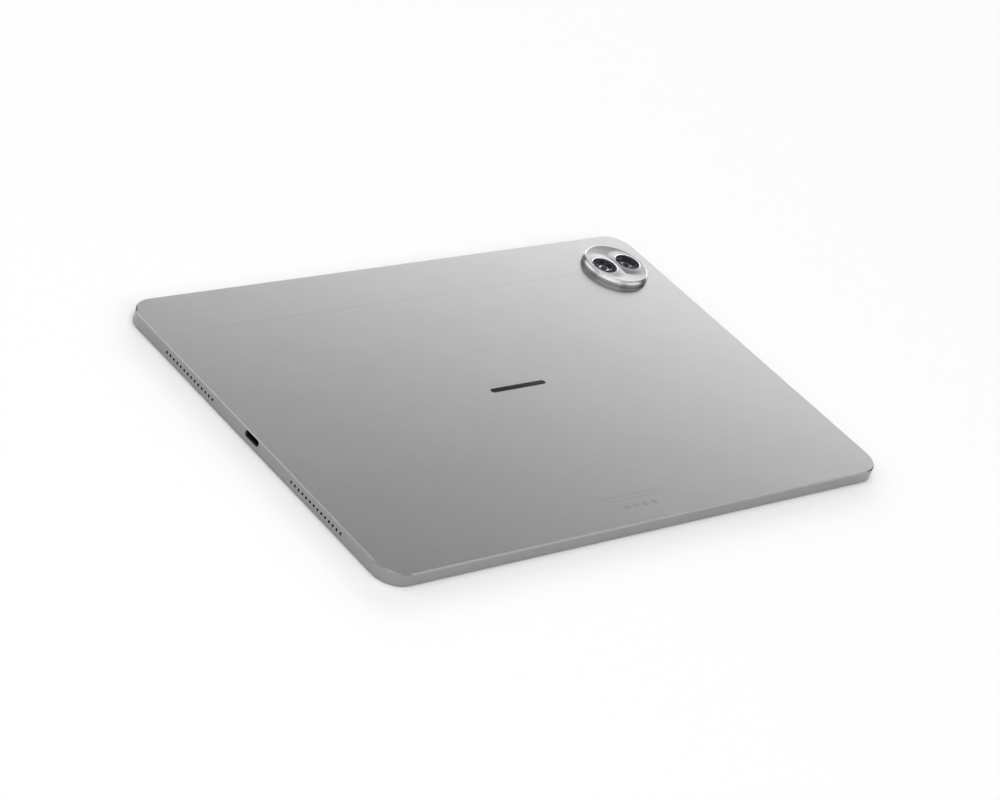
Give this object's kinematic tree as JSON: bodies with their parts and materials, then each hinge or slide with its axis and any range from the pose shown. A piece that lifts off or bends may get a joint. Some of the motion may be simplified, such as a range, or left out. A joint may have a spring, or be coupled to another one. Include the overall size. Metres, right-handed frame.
{
  "type": "tablet computer",
  "caption": "Thin flat tablet computer with a metal back, round camera disc, side speakers, a charging port and press keys.",
  "frame": {"origin": "middle of the screen glass's outer face, which is down", "axes": "+X from the charging-port end to the camera end, +Y from the near long edge to the edge with the camera disc, +Z out of the back"},
  "size_m": [0.2754, 0.1814, 0.0086],
  "materials": {
    "blasted_aluminium": "bead-blasted and anodised silver",
    "polished_aluminium": "polished, clear anodised",
    "seam_plastic": "matt, matched to the metal",
    "cover_glass": "polished, oil-repelling coat",
    "black_print": "black ink",
    "clear_bond": "clear optical resin",
    "tape": "black foam tape",
    "panel_glass": "dark polarised panel",
    "lightguide": "clear sheet between white films",
    "plated_sheet": "stamped, plated",
    "tray_sheet": "pressed sheet",
    "graphite": "graphite film",
    "flex_film": "amber flexible circuit film",
    "contact_gold": "gold plated",
    "board_laminate": "solder mask over laminate",
    "chip_resin": "moulded resin",
    "moulded_black": "fine-textured black plastic",
    "lens_glass": "coated glass",
    "mesh_cloth": "fine woven acoustic mesh",
    "battery_foil": "laminated pouch foil",
    "magnet_nickel": "nickel plated",
    "screw_steel": "zinc plated",
    "coax_sheath": "black sheath"
  },
  "bodies": {
    "tablet_body": {"rear_housing": "blasted_aluminium", "antenna_slot_filler": "seam_plastic", "cover_glass": "cover_glass", "glass_border_print": "black_print", "optical_bond": "clear_bond", "display_adhesive": "tape", "lcd_panel": "panel_glass", "backlight_unit": "lightguide", "backlight_tray": "tray_sheet", "heat_spreader": "graphite", "display_flex": "flex_film", "power_switch_dome": "plated_sheet", "power_switch": "moulded_black", "power_key_bracket": "plated_sheet", "volume_switch_domes": "plated_sheet", "volume_switches": "moulded_black", "volume_key_bracket": "plated_sheet", "usb_shell": "plated_sheet", "usb_tongue": "moulded_black", "usb_contacts": "contact_gold", "usb_board": "board_laminate", "speaker_drivers": "moulded_black", "speaker_magnets": "magnet_nickel", "speaker_meshes": "mesh_cloth", "camera_disc": "polished_aluminium", "camera_board": "board_laminate", "camera_bracket": "plated_sheet", "camera_flex": "flex_film", "front_camera": "moulded_black", "main_board": "board_laminate", "processor": "chip_resin", "board_chips": "chip_resin", "board_connectors": "moulded_black", "battery_guard_board": "board_laminate", "battery_flex": "flex_film", "battery_tabs": "plated_sheet", "battery_adhesive": "tape", "interconnect_flex": "flex_film", "cover_magnets": "magnet_nickel", "housing_screws": "screw_steel", "antenna_coax": "coax_sheath", "microphones": "plated_sheet", "speaker_box_port_end_near": "moulded_black", "speaker_box_port_end_far": "moulded_black", "speaker_box_camera_end_near": "moulded_black", "speaker_box_camera_end_far": "moulded_black", "camera_window_main": "lens_glass", "camera_window_second": "lens_glass", "camera_case_main": "moulded_black", "camera_case_second": "moulded_black", "camera_lens_second": "lens_glass", "shield_can_processor": "plated_sheet", "shield_can_power": "plated_sheet", "battery_cell_left": "battery_foil", "battery_cell_right": "battery_foil", "antenna_right": "moulded_black", "antenna_left": "moulded_black"},
    "power_key": {"power_button": "polished_aluminium"},
    "volume_key": {"volume_rocker": "polished_aluminium"},
    "focus_lens": {"camera_lens_main": "lens_glass"}
  },
  "joints": [
    {"name": "power_press", "type": "slide", "parent": "tablet_body", "child": "power_key", "axis": [-1, 0, 0], "range_m": [0, 0.00025], "stiffness_N_per_m": 4000, "deforming": ["power_switch_dome"]},
    {"name": "volume_rock", "type": "hinge", "parent": "tablet_body", "child": "volume_key", "pos_m": [0.085, 0.08955, 0.00325], "axis": [0, 0, 1], "range_deg": [-1.2, 1.2], "stiffness_Nm_per_rad": 0.25, "deforming": ["volume_switch_domes"]},
    {"name": "focus_travel", "type": "slide", "parent": "tablet_body", "child": "focus_lens", "axis": [0, 0, 1], "range_m": [0, 0.00025], "stiffness_N_per_m": 200}
  ]
}
